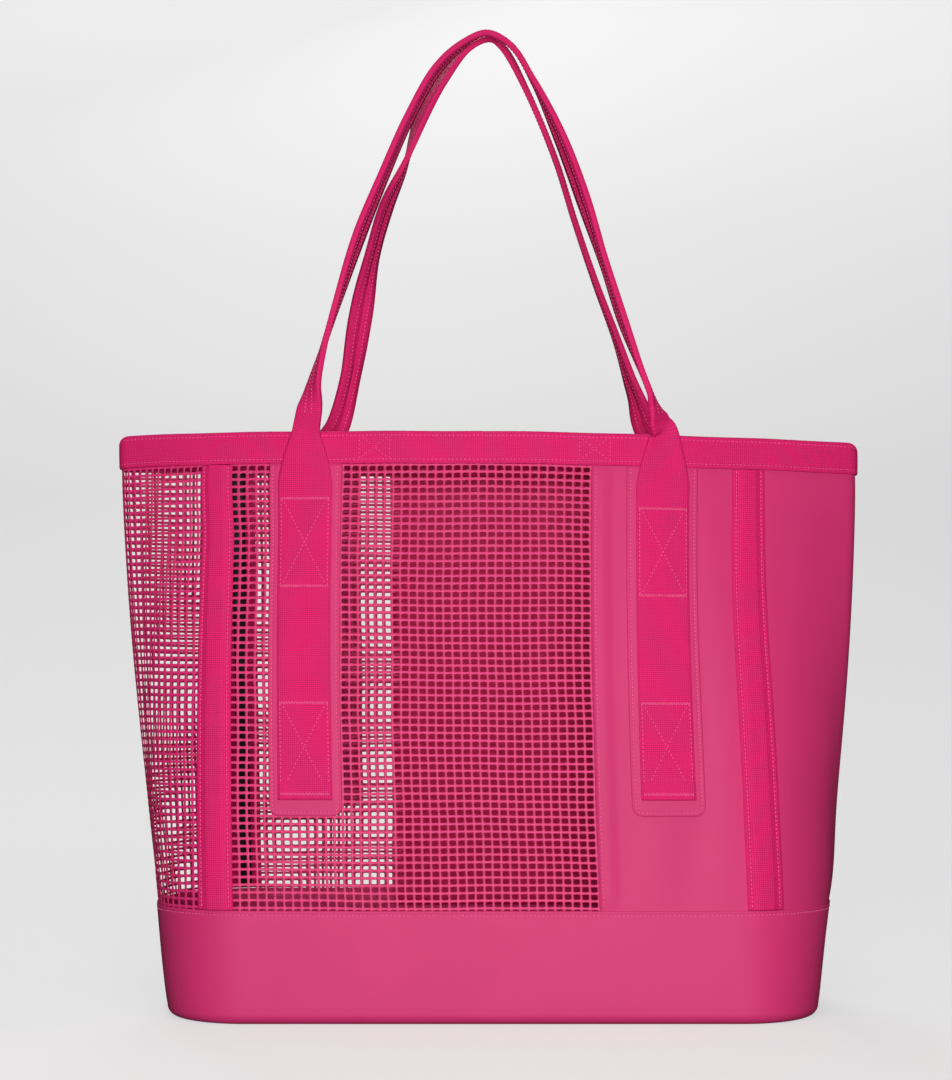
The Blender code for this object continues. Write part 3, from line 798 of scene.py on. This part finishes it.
def add_net(name, first, last):
    """A net of rounded yarns with real holes, from under the base band to inside the rim."""
    low, high = BAND_TOP_Z - NET_UNDER_BAND, RIM_LOW_Z + NET_IN_RIM
    columns, rows = round((last - first) / MESH_U), round((high - low) / MESH_V)

    def place(u, v, offset):
        """A point by its column and row, which wander a little as yarns do."""
        wander = 0.3 * MM * np.sin(v * 0.31 + u * 0.17) + 0.1 * MM * np.sin(v * 0.9 + u * 0.4)
        sag = 0.35 * MM * np.sin(u * 0.23 + v * 0.12) + 0.1 * MM * np.sin(u * 0.71)
        station = first + (last - first) * u / columns + wander
        height = low + (high - low) * v / rows + sag
        return layer(station, height, offset - FABRIC / 2)

    points, cloth = net_points(columns, rows, place)
    used, faces = np.unique(net_faces(columns, rows), return_inverse=True)
    panel = add_mesh(f"{name}_cloth", points[used], faces.reshape(-1, 4), "net", cloth[used])
    settle(panel, name)


def add_fabric(name, first, last, hem=0):
    """A coated panel. Hem is 1 or -1 where its last or first edge is folded over the net."""
    columns = int((last - first) / FABRIC_STEP)
    station = np.linspace(first, last, columns + 1)
    heights = np.linspace(PANEL_LOW_Z, RIM_LOW_Z + FABRIC_IN_RIM, 66)[:, None]
    inwards = (station - first) if hem < 0 else (last - station)
    folded = abs(hem) * (1 - smoothstep((inwards - HEM_FLAT) / HEM_EASE))
    clear_low = smoothstep((heights - BAND_TOP_Z) / (7 * MM))
    clear_high = smoothstep((RIM_LOW_Z - heights) / (5 * MM))
    lift = HEM_LIFT * folded * (clear_low * clear_high)
    outer = layer(station, heights, lift)
    inner = layer(station, heights, lift - FABRIC)
    panel = add_slab(f"{name}_cloth", outer, inner, "coated", grid(station, heights))
    settle(panel, name)


def add_walls():
    """Nets go under the trims and the fabric, whose edge is folded there."""
    for name, (first, last, *_) in PANELS.items():
        from_seam, to_seam = first in SEAMS, last in SEAMS
        if "net" in name:
            first -= NET_UNDER_FABRIC if from_seam else -NET_FROM_CORNER
            last += NET_UNDER_FABRIC if to_seam else -NET_FROM_CORNER
            add_net(name, first, last)
        else:
            first += 0 if from_seam else GAP
            last -= 0 if to_seam else GAP
            add_fabric(name, first, last, hem=to_seam - from_seam)


# ---- base


def around_stations():
    """Stations all round the bag, close together where the rim turns at its ends."""
    tight = 285 * MM
    quarter = np.concatenate([np.linspace(0, tight, 72), np.linspace(tight, END, 13)[1:]])
    half = np.concatenate([quarter, BACK - quarter[-2::-1]])
    return np.concatenate([half, LAP - half[-2:0:-1]])


def foot_arc(radius, out, turns):
    """Heights and offsets on a round at the foot of the band, whose face is at an offset."""
    return [(BASE_EDGE_RADIUS - radius * math.sin(t), out - radius * (1 - math.cos(t))) for t in turns]


def band_section():
    """Heights and offsets round the base band's cross-section, outer face first, from the top."""
    top, out = BAND_TOP_Z, GAP + FABRIC
    face = [(top - down * MM, out - sunk * MM) for down, sunk in BAND_LIP]
    face += [(z, out) for z in np.linspace(top - 9 * MM, BASE_EDGE_RADIUS, 12)]
    turns = np.radians(np.linspace(10, 90, 9))
    outer = foot_arc(BASE_EDGE_RADIUS, out, turns)
    inner = foot_arc(BASE_EDGE_RADIUS - FABRIC, GAP, turns[::-1])
    back = [(z, GAP) for z in np.linspace(BASE_EDGE_RADIUS, top - 0.5 * MM, 8)]
    return np.array(face + outer + inner + back)


def add_base_band():
    z, offset = band_section().T
    station = around_stations()[:, None]
    rings = layer(station, np.maximum(z, BASE_EDGE_RADIUS), offset)
    rings[..., 2] = np.where(z < BASE_EDGE_RADIUS, z, rings[..., 2])
    band = add_tube("base_band_cloth", rings, "coated", grid(station, z), ring=True)
    settle(band, "base_band")


def add_disc(name, profile, edge_offset, look):
    """A flat piece inside the base: rings of its outline, scaled in and raised by a profile."""
    edge = layer(around_stations(), BASE_EDGE_RADIUS, edge_offset)
    centre = np.array([edge[:, 0].mean(), 0.0])
    rings = []
    for share, z in profile:
        ring = edge.copy()
        ring[:, :2] = centre + (edge[:, :2] - centre) * share
        ring[:, 2] = z
        rings.append(ring)
    rings = np.array(rings)
    return add_tube(name, rings, look, rings[..., :2])


def board_profile():
    """Shares of the board's outline and heights: its underside, round edge, and crowned top."""
    low, high = BOARD_LOW, BOARD_HIGH
    edge = ((0.985, 0.2), (0.997, 0.7))
    top = ((0.97, 0.0), (0.955, -0.35), (0.94, 0.0), (0.8, 0.25), (0.5, 0.3), (0.1, 0.2))
    profile = [(share, low) for share in (0.1, 0.6, 0.96)]
    profile += [(share, low + up * MM) for share, up in edge]
    profile += [(1.0, (low + high) / 2)]
    profile += [(share, high - down * MM) for share, down in reversed(edge)]
    return profile + [(share, high + up * MM) for share, up in top]


def add_base():
    add_base_band()
    shares = [0.12, 0.3, 0.5, 0.7, 0.86, 0.93, 0.95, 0.97, 1.0]
    profile = [(share, 0.0) for share in shares] + [(share, FABRIC) for share in reversed(shares)]
    floor = add_disc("base_underside", profile, FABRIC - BASE_EDGE_RADIUS, "coated")
    settle(floor, "base_floor")
    board = add_disc("board_cover", board_profile(), GAP + FABRIC - BOARD_INSET, "board")
    settle(board, "base_board")


# ---- edging


def over_stay(across):
    """How far a trim is lifted where it passes over its stay."""
    return (STAY + GAP) * smoothstep((8.6 * MM - np.abs(across)) / (3.4 * MM))


def add_corner_trims():
    """Webbing down each corner, over a flat stay."""
    low, high = BAND_TOP_Z + GAP, RIM_LOW_Z - GAP
    wide, narrow = strip_outline(TRIM_WIDTH, WEBBING, 16), strip_outline(STAY_WIDTH, STAY, 4)
    lift = over_stay(wide[:, 0])
    for place, station in CORNERS.items():
        trim_node, stay_node = f"corner_trim_{place}", f"corner_stay_{place}"
        span = (station, low, high)
        trim = add_wall_strip(f"{trim_node}_webbing", *span, wide, GAP, "webbing", lift)
        stay = add_wall_strip(f"{stay_node}_strip", *span, narrow, GAP, "stay")
        settle(trim, trim_node)
        settle(stay, stay_node)


def rim_section():
    """Heights and offsets round the folded binding: outer leg, round fold, inner leg and inside."""
    outer, inner = GAP + WEBBING, -FABRIC - GAP - WEBBING
    radius = (outer - inner) / 2
    centre_z, centre = RIM_Z - radius, (outer + inner) / 2
    low = RIM_LOW_Z
    leg = np.linspace(low + 1.2 * MM, centre_z, 8)
    section = [(low + 0.05 * MM, outer - 0.75 * MM), (low + 0.3 * MM, outer - 0.2 * MM)]
    section += [(z, outer) for z in leg]
    for turn in np.radians(np.arange(22.5, 180, 22.5)):
        section.append((centre_z + radius * math.sin(turn), centre + radius * math.cos(turn)))
    section += [(z, inner) for z in leg[::-1]]
    section += [(low + 0.3 * MM, inner + 0.2 * MM), (low + 0.05 * MM, inner + 0.75 * MM)]
    section += [(low + 0.5 * MM, inner + WEBBING), (centre_z, inner + WEBBING)]
    small = radius - WEBBING
    for turn in np.radians((135, 90, 45)):
        section.append((centre_z + small * math.sin(turn), centre + small * math.cos(turn)))
    section += [(centre_z, outer - WEBBING), (low + 0.5 * MM, outer - WEBBING)]
    return np.array(section)


def end_drop(station, z):
    """How far the rim rounds down at its tight ends, more towards its top."""
    from_end = np.abs((station + BACK) % LAP - BACK) - END
    share = np.clip((z - RIM_LOW_Z) / (RIM_Z - RIM_LOW_Z), 0, 1)
    return RIM_END_DROP * hump(from_end, RIM_END_REACH) * share**2


def rim_layer(station, z, offset):
    """A point of the rim, with its ends rounded down and the slight unevenness of sewn webbing."""
    points = layer(station, z, offset)
    ripple = 0.35 * MM * np.sin(station / 0.021) * np.sin(station / 0.047 + 1.0)
    points[..., 2] += ripple - end_drop(station, z)
    return points


def add_rim():
    section = rim_section()
    z, offset = section.T
    station = around_stations()[:, None]
    rings = rim_layer(*np.broadcast_arrays(station, z, offset))
    cloth = grid(distances(section), station)
    rim = add_tube("rim_binding_webbing", rings, "webbing", cloth, ring=True)
    rim.data.flip_normals()  # its section runs the other way round from the other tubes'
    settle(rim, "rim_binding")


def add_rim_tabs():
    low, high = RIM_MIDDLE_Z - TAB_HEIGHT / 2, RIM_MIDDLE_Z + TAB_HEIGHT / 2
    outline = strip_outline(TAB_WIDTH, WEBBING, 8)
    for place, station in TABS.items():
        node = f"rim_tab_{place}"
        tab = add_wall_strip(f"{node}_webbing", station, low, high, outline, TAB_OFFSET, "webbing")
        settle(tab, node)


# ---- handle patches


def patch_low(across):
    """Height of a patch's lower edge, rounded at its corners."""
    reach = np.clip(np.abs(across) - (PATCH_WIDTH / 2 - PATCH_CORNER), 0, PATCH_CORNER)
    return PATCH_LOW_Z + PATCH_CORNER - np.sqrt(PATCH_CORNER**2 - reach**2)


def add_patches():
    """Coated patches with a sewn groove just inside their edges."""
    half, high, steps = PATCH_WIDTH / 2, RIM_LOW_Z + PATCH_IN_RIM, 48
    near_edge = np.array([0.0, 0.4, 1.3, 2.2, 2.8, 3.4, 4.6, 6.2, 8.5]) * MM
    groove = np.array([-0.55, -0.12, 0.1, -0.12, -0.32, -0.12, 0.08, 0.0, 0.0]) * MM
    middle = np.linspace(-half + 13 * MM, half - 13 * MM, 8)
    across = np.concatenate([-half + near_edge, middle, half - near_edge[::-1]])
    dip_across = np.concatenate([groove, np.zeros(len(middle)), groove[::-1]])
    above = np.concatenate([near_edge, np.linspace(14 * MM, high - PATCH_LOW_Z, steps)])[:, None]
    dip_up = np.concatenate([groove, np.zeros(steps)])[:, None]
    dip = np.minimum(dip_across, dip_up)
    low = patch_low(across)
    heights = low + above - (low - PATCH_LOW_Z) * above / above[-1]
    for place, station in PATCHES.items():
        node = f"handle_patch_{place}"
        outer = layer(station + across, heights, GAP + FABRIC + dip)
        inner = layer(station + across, heights, GAP)
        patch = add_slab(f"{node}_cloth", outer, inner, "coated", grid(across, heights))
        settle(patch, node)


# ---- handles


def smooth(stops, step):
    """Stops at even steps on a Catmull-Rom curve through the given ones, as the CAD part has it."""
    lengths = np.linalg.norm(np.diff(stops[:, :3], axis=0), axis=1)
    knots = np.concatenate([[0], np.cumsum(np.sqrt(lengths))])
    slopes = np.gradient(stops, knots, axis=0)
    at = np.linspace(0, knots[-1], int(lengths.sum() / step) + 1)
    span = np.clip(np.searchsorted(knots, at, side="right") - 1, 0, len(knots) - 2)
    width = (knots[span + 1] - knots[span])[:, None]
    t = ((at - knots[span]) / width[:, 0])[:, None]
    start, end = stops[span], stops[span + 1]
    rise, fall = slopes[span] * width, slopes[span + 1] * width
    return (
        (2 * t**3 - 3 * t**2 + 1) * start
        + (t**3 - 2 * t**2 + t) * rise
        + (3 * t**2 - 2 * t**3) * end
        + (t**3 - t**2) * fall
    )


def on_wall_stops(station):
    """Stops from the fold line to the rim's top edge: x, y, z, turn, width and thickness."""
    stops = []
    for z, width, thickness in FOLD_PLAN:
        x, y, _ = layer(station, z, STRAP_OFFSET + thickness / 2)
        turn = math.degrees(math.asin(min(abs(wall_normal(station, z)[0]), 1)))
        stops.append((x, y, z, turn, width, thickness))
    return stops


def tail_stops():
    """Stops up a sewn tail, which is thicker at its folded hem."""
    hem_part = [0, 0.3, 0.9, *np.linspace(2, 12, 6), 13.2, 14.5]
    up = np.concatenate([hem_part, np.linspace(20, 226, 44)]) * MM
    up = up[up < HINGE_Z - MM - TAIL_LOW_Z]
    thickness = HEM_THICKNESS - (HEM_THICKNESS - WEBBING) * smoothstep((up - HEM_HEIGHT) / (3 * MM))
    ends = np.where(up < 0.2 * MM, 0.45, np.where(up < 0.6 * MM, 0.85, 1.0))
    stops = np.zeros((len(up), 6))
    stops[:, 2], stops[:, 4], stops[:, 5] = TAIL_LOW_Z + up, STRAP_WIDTH, thickness * ends
    return stops


def strap_outline(width, thickness):
    """The folded webbing's outline: outer face, edge, flap, slit, flap and edge. Flat where it is
    full width, and folded behind itself until the flaps meet where it is half as wide."""
    half, ease = width / 2, 0.55 * MM
    slit = min(max(width - STRAP_WIDTH / 2, 0.3 * MM), half - 0.9 * MM)
    core = max(thickness - WEBBING, 0.0)
    shares = (0.9, 0.68, 0.34, 0.0, -0.34, -0.68, -0.9)
    top = [(share * half, thickness - 0.12 * MM * share**2) for share in shares]
    left = [
        (-half + 0.05 * MM, thickness - ease),
        (-half, 0.5 * thickness),
        (-half + 0.05 * MM, 0.3 * thickness),
        (-half + ease, 0.0),
        (-(half + slit) / 2, 0.0),
        (-slit - 0.3 * MM, 0.0),
        (-slit, min(0.35 * MM, core)),
        (-slit, core),
        (0.0, core),
    ]
    right = [(-x, out) for x, out in reversed(left[:-1])]
    return np.array(top + left + right)


def strap_stops(route, left, right, facing):
    """Every section of one strap from hem to hem: x, y, z, turn, width and thickness."""
    above = [
        (x * MM, -y * MM * facing, z * MM, turn, GRIP_WIDTH, GRIP_THICKNESS)
        for x, y, z, turn in route
    ]
    upper = smooth(np.array(on_wall_stops(left) + above + on_wall_stops(right)[::-1]), STRAP_STEP)
    tail = tail_stops()
    return np.concatenate([tail, upper, tail[::-1]])


def strap_axes(stops, facing):
    """Unit vectors across the strap and out of its face, at each stop."""
    tangent = unit(np.gradient(stops[:, :3], axis=0))
    away = np.array([0.0, -facing, 0.0])
    away = unit(away - tangent * (tangent @ away)[:, None])
    outwards = np.cross(away, tangent) * facing
    turn = np.radians(stops[:, 3])[:, None]
    face = away * np.cos(turn) + outwards * np.sin(turn)
    return np.cross(tangent, face), face


def add_strap(side, route, facing, thread):
    """One handle with its two sewn tails, as a single strap of folded webbing."""
    left, right = PATCHES[f"{side}_left"], PATCHES[f"{side}_right"]
    stops = strap_stops(route, left, right, facing)
    height, thickness = stops[:, 2:3], stops[:, 5:6]
    sideways, face = strap_axes(stops, facing)
    climbing = (np.arange(len(stops)) < len(stops) // 2)[:, None]
    leg, station = np.where(climbing, 1, -1), np.where(climbing, left, right)
    base = TAIL_OFFSET + (STRAP_OFFSET - TAIL_OFFSET) * smoothstep((height - LIFT_Z) / LIFT_SPAN)
    free_share = smoothstep((height - FREE_Z) / FREE_SPAN)
    dimple = DIMPLE_DEPTH * hump(height - DIMPLE_Z, DIMPLE_HEIGHT)

    def surface(across, out):
        """Points of the strap at each stop, from how far across and out of its back they are."""
        free = stops[:, None, :3] + sideways[:, None] * across[..., None]
        free = free + face[:, None] * (out - thickness / 2)[..., None]
        sunk = dimple * hump(across, DIMPLE_WIDTH) * np.clip(out / WEBBING, 0, 1)
        laid = layer(station + leg * across, height, base + out - sunk)
        return laid + (free - laid) * free_share[..., None]

    outlines = np.array([strap_outline(*size) for size in stops[:, 4:6]])
    rings = surface(outlines[..., 0], outlines[..., 1])
    run = distances(rings[:, 3])[:, None]
    strap = add_tube(f"{side}_handle_strap", rings, "webbing", grid(outlines[..., 0], run))
    strap.data.flip_normals()  # its outline runs the other way round from the other tubes'
    sew_grip(thread, surface, stops)
    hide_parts(f"{side}_handle", f"handle_tail_{side}_left", f"handle_tail_{side}_right")
    return strap


def sew_grip(thread, surface, stops):
    """Two rows down the outer face of the folded part, and a row in each flap behind."""
    free = stops[:, 2] > GRIP_STITCH_Z
    thickness = stops[:, 5:6]
    for across, outer in ((-2.6, True), (2.6, True), (-4.2, False), (4.2, False)):
        where = np.full_like(thickness, across * MM)
        out = thickness - THREAD_LIFT if outer else np.zeros_like(thickness)
        beyond = out + (MM if outer else -MM)
        line = surface(where, out)[free, 0]
        normals = surface(where, beyond)[free, 0] - line
        thread.along(line, normals, pitch=3.0 * MM)


def sew_tail(thread, station, drop):
    """Two crossed boxes on a tail, the upper one lowered by a drop, and a bar along its hem."""
    left, right = station - BOX_WIDTH / 2, station + BOX_WIDTH / 2
    offset = TAIL_OFFSET + WEBBING + THREAD_LIFT
    low, high = UPPER_BOX
    thread.box(left, right, *LOWER_BOX, offset)
    thread.box(left, right, low - drop, high - drop, offset)
    thread.bar(left, right, HEM_BAR_Z, TAIL_OFFSET + HEM_THICKNESS + THREAD_LIFT)


def joint_y(name):
    return next(joint["pos_m"][1] for joint in frame["joints"] if joint["name"] == name)


def add_handles():
    for side, route, facing in (("front", FRONT_ROUTE, 1), ("back", BACK_ROUTE, -1)):
        thread = Thread()
        strap = add_strap(side, route, facing, thread)
        for place, station in PATCHES.items():
            if place.startswith(side):
                sew_tail(thread, station, UPPER_BOX_DROP if place == "front_right" else 0.0)
        stitches = thread.mesh(f"{side}_handle_stitches", "webbing")
        fold_y = joint_y(f"{side}_handle_fold")
        start, end = (0, fold_y, BEND_LOW_Z), (0, fold_y, BEND_HIGH_Z)
        for piece in (strap, stitches):
            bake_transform(piece)
            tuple(start)
            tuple(end)


# ---- sewing on the bag


def sew_walls(lap, up):
    """A row round the base band's groove and one down each seam."""
    thread = Thread()
    thread.row(lap, BAND_TOP_Z - BAND_GROOVE, GAP + FABRIC - 0.1 * MM)
    for seam, step in zip(SEAMS, (1, -1)):
        thread.row(seam + step * HEM_ROW, up, HEM_LIFT + 0.05 * MM)
    return thread.mesh("wall_stitches", "coated_fabric")


def sew_trims(up):
    """A row down both sides of each corner trim."""
    thread = Thread()
    for station in CORNERS.values():
        for across in (-TRIM_ROW, TRIM_ROW):
            thread.row(station + across, up, GAP + WEBBING + over_stay(across))
    return thread.mesh("trim_stitches", "webbing")


def sew_patches():
    """A row just inside each patch's two sides and its rounded lower edge."""
    half, radius = PATCH_WIDTH / 2 - PATCH_ROW, PATCH_CORNER - PATCH_ROW
    low, high = PATCH_LOW_Z + PATCH_ROW, RIM_LOW_Z - MM
    turn = np.linspace(0, math.pi / 2, 8)
    corner = np.stack([half - radius + radius * np.sin(turn), low + radius - radius * np.cos(turn)], 1)
    path = np.concatenate([corner, grid(half, np.linspace(low + radius + MM, high, 60))])
    path = np.concatenate([(path * (-1, 1))[::-1], path])
    thread = Thread()
    for station in PATCHES.values():
        thread.row(station + path[:, 0], path[:, 1], GAP + FABRIC - 0.2 * MM, pitch=3.0 * MM)
    return thread.mesh("patch_stitches", "coated_fabric")


def sew_rim(lap):
    """Two rows round the rim, outside and inside, and a crossed box through each tab."""
    thread = Thread()
    for z in (RIM_LOW_Z + 3.2 * MM, RIM_Z - 3.6 * MM):
        for offset, facing in ((GAP + WEBBING, 1), (-FABRIC - GAP - WEBBING, -1)):
            line = rim_layer(*np.broadcast_arrays(lap, z, offset))
            thread.along(line, wall_normal(lap, np.full_like(lap, z)) * facing, width=RIM_STITCH_WIDTH)
    for station in TABS.values():
        sew_tab(thread, station)
    return thread.mesh("rim_stitches", "webbing")


def sew_tab(thread, station):
    """The crossed box that holds a rim tab, outside on the rim and inside on the tab."""
    half_width, half_height = TAB_WIDTH / 2 - 0.5 * MM, TAB_HEIGHT / 2 - 2.6 * MM
    share = np.linspace(-1, 1, 16)
    lines = [(np.full(16, side * half_width), 1.2 * half_height * share) for side in (-1, 1)]
    lines += [(0.86 * half_width * share, slope * half_height * share) for slope in (1, -1)]
    for across, up in lines:
        for offset, facing, shrink in ((GAP + WEBBING, 1, 1.0), (TAB_OFFSET, -1, 0.82)):
            at, z = station + across * shrink, RIM_MIDDLE_Z + up
            normals = wall_normal(at, z) * facing
            thread.along(layer(at, z, offset), normals, length=CROSS_LENGTH, width=RIM_STITCH_WIDTH)


def add_bag_stitches():
    lap = np.linspace(0, LAP, 700)
    up = np.linspace(BAND_TOP_Z + 2 * MM, RIM_LOW_Z - MM, 120)
    for piece in (sew_walls(lap, up), sew_trims(up), sew_patches(), sew_rim(lap)):
        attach(piece, "bag")


# ---- stage


def floor_material():
    """Pale grey that glows a little, least behind the bag's upper part."""
    levels = {"Roughness": 0.75, "Specular IOR Level": 0.2, "Base Color": FLOOR_GREY}
    look = Look("studio_floor", levels | {"Emission Color": (1.0, 1.0, 1.0, 1.0)})
    height = look.node("SeparateXYZ", {0: look.place()}).outputs[2]
    fall = look.ranged(height, 0.0, DIM_Z, FLOOR_GLOW, DIM_GLOW)
    rise = look.ranged(height, DIM_Z, TOP_Z, 0.0, TOP_GLOW - DIM_GLOW)
    look.feed("Emission Strength", look.calc("ADD", fall, rise))
    return look.material


def add_stage():
    """A pale floor that curves up into a backdrop."""
    radius, back, side, front = 1.2, 2.4, 6.0, -3.5
    turns = np.linspace(0, math.pi / 2, 24)
    profile = [(front, 0.0), (0.0, 0.0)]
    profile += [(back - radius + radius * math.sin(t), radius - radius * math.cos(t)) for t in turns]
    profile += [(back, 6.0)]
    rows = np.array([[(x, y, z) for x in (-side, side)] for y, z in profile])
    mesh = bpy.data.meshes.new("studio")
    mesh.from_pydata(rows.reshape(-1, 3).tolist(), [], lattice_quads(*rows.shape[:2]).tolist())
    mesh.materials.append(floor_material())
    mesh.shade_smooth()
    studio = new_object("studio", mesh)
    studio.visible_diffuse = False  # keeps the floor's bounce off the bag, whose ends are dark
    studio.visible_glossy = False


def add_light(name, place, aim, size, power):
    lamp = bpy.data.lights.new(name, "AREA")
    lamp.shape = "RECTANGLE"
    lamp.size, lamp.size_y = size
    lamp.energy = power
    light = new_object(name, lamp)
    light.location = place
    light.rotation_euler = (Vector(aim) - Vector(place)).to_track_quat("-Z", "Y").to_euler()


def add_lights():
    for name, settings in LIGHTS.items():
        add_light(name, *settings)
    world = bpy.data.worlds.new("studio_air")
    world.use_nodes = True
    air = world.node_tree.nodes["Background"]
    air.inputs["Color"].default_value = (1.0, 1.0, 1.0, 1.0)
    air.inputs["Strength"].default_value = AIR_GLOW
    bpy.context.scene.world = world


def add_camera():
    lens = bpy.data.cameras.new("camera")
    lens.lens = LENS
    lens.shift_y = RISE
    camera = new_object("camera", lens)
    camera.location = EYE
    camera.rotation_euler = (math.pi / 2, 0.0, 0.0)
    bpy.context.scene.camera = camera


add_camera()
add_walls()
add_base()
add_corner_trims()
add_rim()
add_rim_tabs()
add_patches()
add_handles()
add_bag_stitches()
add_stage()
add_lights()
bpy.context.scene.view_settings.view_transform = "Standard"
